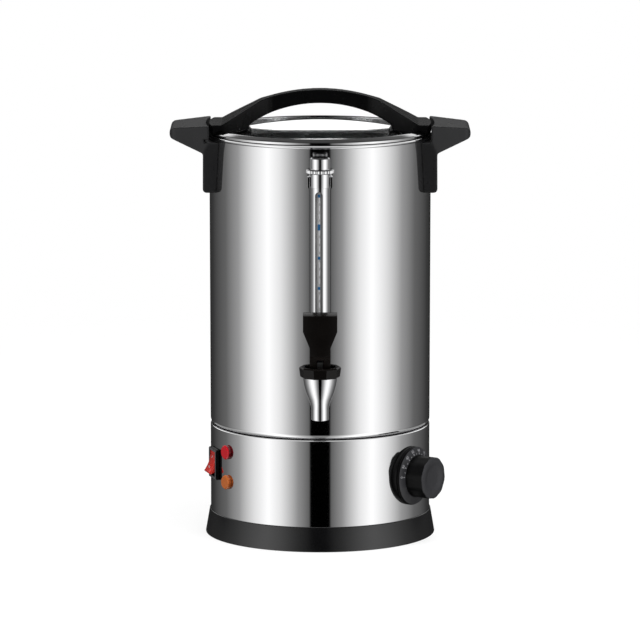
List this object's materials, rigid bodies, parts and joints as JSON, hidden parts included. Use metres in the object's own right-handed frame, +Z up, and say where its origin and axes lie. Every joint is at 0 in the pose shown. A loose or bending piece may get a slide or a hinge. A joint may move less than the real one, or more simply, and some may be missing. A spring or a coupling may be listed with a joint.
{
  "type": "hot water urn",
  "caption": "Round polished steel hot water urn with a front tap and level gauge, side handles, a glass lid with an arch handle, and a base with a rocker switch, lamps and dial.",
  "frame": {"origin": "on the tank's axis, at the counter that the urn stands on", "axes": "+Z up, -Y towards the tap, +X to the right as the tap is faced"},
  "size_m": [0.3014, 0.3039, 0.4517],
  "materials": {
    "polished_steel": "polished to a near mirror",
    "inner_steel": "plain sheet and fasteners",
    "chrome": "bright plated",
    "satin_black": "satin moulded",
    "gloss_black": "gloss moulded",
    "dial_grey": "satin moulded with white scale",
    "bezel_grey": "fine matt",
    "red_lens": "translucent gloss",
    "amber_lens": "translucent gloss",
    "clear_glass": "clear toughened",
    "black_silicone": "matt",
    "clear_silicone": "translucent",
    "aluminium": "cast",
    "brass": "plain",
    "copper": "plain",
    "white_plastic": "plain",
    "wire_red": "silicone sleeve"
  },
  "bodies": {
    "base": {"tank_shell": "polished_steel", "tank_floor": "inner_steel", "lower_skirt": "polished_steel", "base_ring": "satin_black", "foot_ring": "black_silicone", "bottom_cover": "inner_steel", "centre_stud": "inner_steel", "stud_nuts": "inner_steel", "heater_plate": "aluminium", "heating_element": "inner_steel", "heat_shield": "inner_steel", "thermal_cutout": "white_plastic", "left_handle": "satin_black", "right_handle": "satin_black", "handle_screws": "inner_steel", "handle_washers": "black_silicone", "tap_body": "chrome", "tap_bonnet": "gloss_black", "tap_gaskets": "black_silicone", "tap_nut": "inner_steel", "valve_spring": "inner_steel", "gauge_glass": "clear_glass", "gauge_guard": "chrome", "gauge_sleeve": "chrome", "gauge_bracket": "chrome", "gauge_collar": "chrome", "gauge_cap": "chrome", "gauge_seals": "black_silicone", "gauge_nut": "inner_steel", "switch_housing": "bezel_grey", "switch_terminals": "brass", "heat_lamp_lens": "red_lens", "warm_lamp_lens": "amber_lens", "lamp_bodies": "white_plastic", "lamp_clips": "inner_steel", "dial_collar": "satin_black", "thermostat_body": "white_plastic", "thermostat_plate": "inner_steel", "thermostat_screws": "inner_steel", "sensor_bulb": "copper", "power_inlet": "satin_black", "inlet_pins": "brass", "inlet_screws": "inner_steel", "earth_screw": "brass", "wiring": "wire_red"},
    "valve": {"valve_stem": "inner_steel", "valve_cup": "clear_silicone"},
    "lever": {"tap_lever": "gloss_black", "lever_pin": "inner_steel"},
    "rocker": {"switch_rocker": "red_lens"},
    "dial": {"dial_knob": "dial_grey", "thermostat_shaft": "inner_steel"},
    "lid_seal": {"lid_gasket": "black_silicone"},
    "lid": {"lid_ring": "polished_steel", "lid_glass": "clear_glass", "glass_seal": "black_silicone", "lid_handle": "satin_black", "lid_screws": "inner_steel"}
  },
  "joints": [
    {"name": "valve_lift", "type": "slide", "parent": "base", "child": "valve", "axis": [0, 0, 1], "range_m": [0, 0.0045], "deforming": ["valve_spring"]},
    {"name": "lever_tilt", "type": "hinge", "parent": "valve", "child": "lever", "pos_m": [0, -0.168, 0.2], "axis": [1, 0, 0], "range_deg": [0, 90], "stiffness_Nm_per_rad": 0.011, "springref_deg": -120.32},
    {"name": "rocker_tip", "type": "hinge", "parent": "base", "child": "rocker", "pos_m": [-0.10592, -0.03319, 0.0755], "axis": [0.299, -0.9542, 0], "range_deg": [0, 36]},
    {"name": "dial_turn", "type": "hinge", "parent": "base", "child": "dial", "pos_m": [0.09889, -0.06797, 0.0684], "axis": [0.8241, -0.5664, 0], "range_deg": [-270, 0]},
    {"name": "lid_lift", "type": "slide", "parent": "base", "child": "lid_seal", "axis": [0, 0, 1], "range_m": [0, 0.15]},
    {"name": "lid_turn", "type": "hinge", "parent": "lid_seal", "child": "lid", "pos_m": [0, 0, 0.41], "axis": [0, 0, 1], "range_deg": [0, 45]}
  ],
  "couplings": [
    {"joint": "valve_lift", "follows": "lever_tilt", "m_per_rad": 0.00286}
  ]
}
